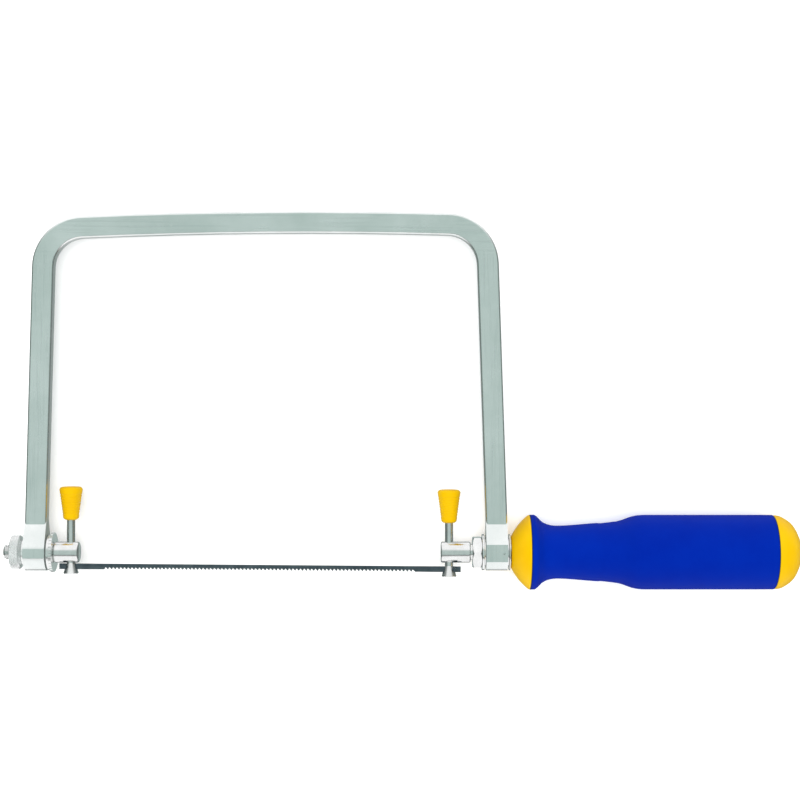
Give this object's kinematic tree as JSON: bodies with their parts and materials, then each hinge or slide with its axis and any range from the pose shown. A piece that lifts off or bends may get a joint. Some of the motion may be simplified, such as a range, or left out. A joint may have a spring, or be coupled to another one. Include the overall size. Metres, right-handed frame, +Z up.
{
  "type": "coping saw",
  "caption": "Coping saw: a plated flat-bar C frame, a thin pinned blade held by swivelling spigots with finger knobs, a front thumb nut and a soft-grip screw handle.",
  "frame": {"origin": "on the handle's axis, at the middle of the straight part of the grip", "axes": "+X along the handle's axis towards its butt; +Y from the blade towards the back of the frame, so the teeth point to -Y; +Z square to the frame's plane. The saw lies on its side as on a bench, with +Z up"},
  "size_m": [0.3381, 0.1605, 0.0318],
  "materials": {
    "frame_plate": "satin nickel plate over mild steel",
    "plated_hardware": "bright zinc plate, turned",
    "blade_steel": "dark tempered spring steel",
    "knob_plastic": "moulded yellow plastic, satin",
    "yellow_plastic": "moulded yellow plastic, smooth",
    "grip_rubber": "soft blue moulded grip, fine matte texture",
    "core_plastic": "moulded polypropylene core, hidden"
  },
  "bodies": {
    "frame": {"frame_bar": "frame_plate", "rear_outer_washer": "plated_hardware"},
    "thumb_nut": {"thumb_nut": "plated_hardware"},
    "front_slider": {"front_washer": "plated_hardware"},
    "front_spigot": {"front_spigot": "plated_hardware", "front_lock_ring": "plated_hardware", "front_lever_pin": "plated_hardware", "front_knob": "knob_plastic", "blade": "blade_steel", "front_cross_pin": "blade_steel", "rear_cross_pin": "blade_steel"},
    "handle": {"handle_insert": "plated_hardware", "handle_core": "core_plastic", "handle_bolster": "yellow_plastic", "grip_sleeve": "grip_rubber", "end_cap": "yellow_plastic"},
    "rear_slider": {"rear_inner_washer": "plated_hardware"},
    "rear_spigot": {"rear_spigot": "plated_hardware", "jam_nut": "plated_hardware", "rear_lever_pin": "plated_hardware", "rear_knob": "knob_plastic"}
  },
  "joints": [
    {"name": "thumb_nut_turn", "type": "hinge", "parent": "frame", "child": "thumb_nut", "pos_m": [-0.292, 0, 0], "axis": [-1, 0, 0], "range_deg": [0, 360]},
    {"name": "front_draw", "type": "slide", "parent": "frame", "child": "front_slider", "axis": [1, 0, 0], "range_m": [0, 0.001]},
    {"name": "blade_turn", "type": "hinge", "parent": "front_slider", "child": "front_spigot", "pos_m": [-0.2693, 0, 0], "axis": [1, 0, 0], "continuous": true},
    {"name": "handle_turn", "type": "hinge", "parent": "frame", "child": "handle", "pos_m": [0, 0, 0], "axis": [1, 0, 0], "range_deg": [0, 720]},
    {"name": "rear_draw", "type": "slide", "parent": "frame", "child": "rear_slider", "axis": [-1, 0, 0], "range_m": [0, 0.0025]},
    {"name": "rear_spigot_turn", "type": "hinge", "parent": "rear_slider", "child": "rear_spigot", "pos_m": [-0.1086, 0, 0], "axis": [1, 0, 0], "continuous": true}
  ],
  "couplings": [
    {"joint": "front_draw", "follows": "thumb_nut_turn", "m_per_rad": 0.00015915},
    {"joint": "rear_draw", "follows": "handle_turn", "m_per_rad": 0.00019894},
    {"joint": "rear_spigot_turn", "follows": "blade_turn", "ratio": 1}
  ]
}
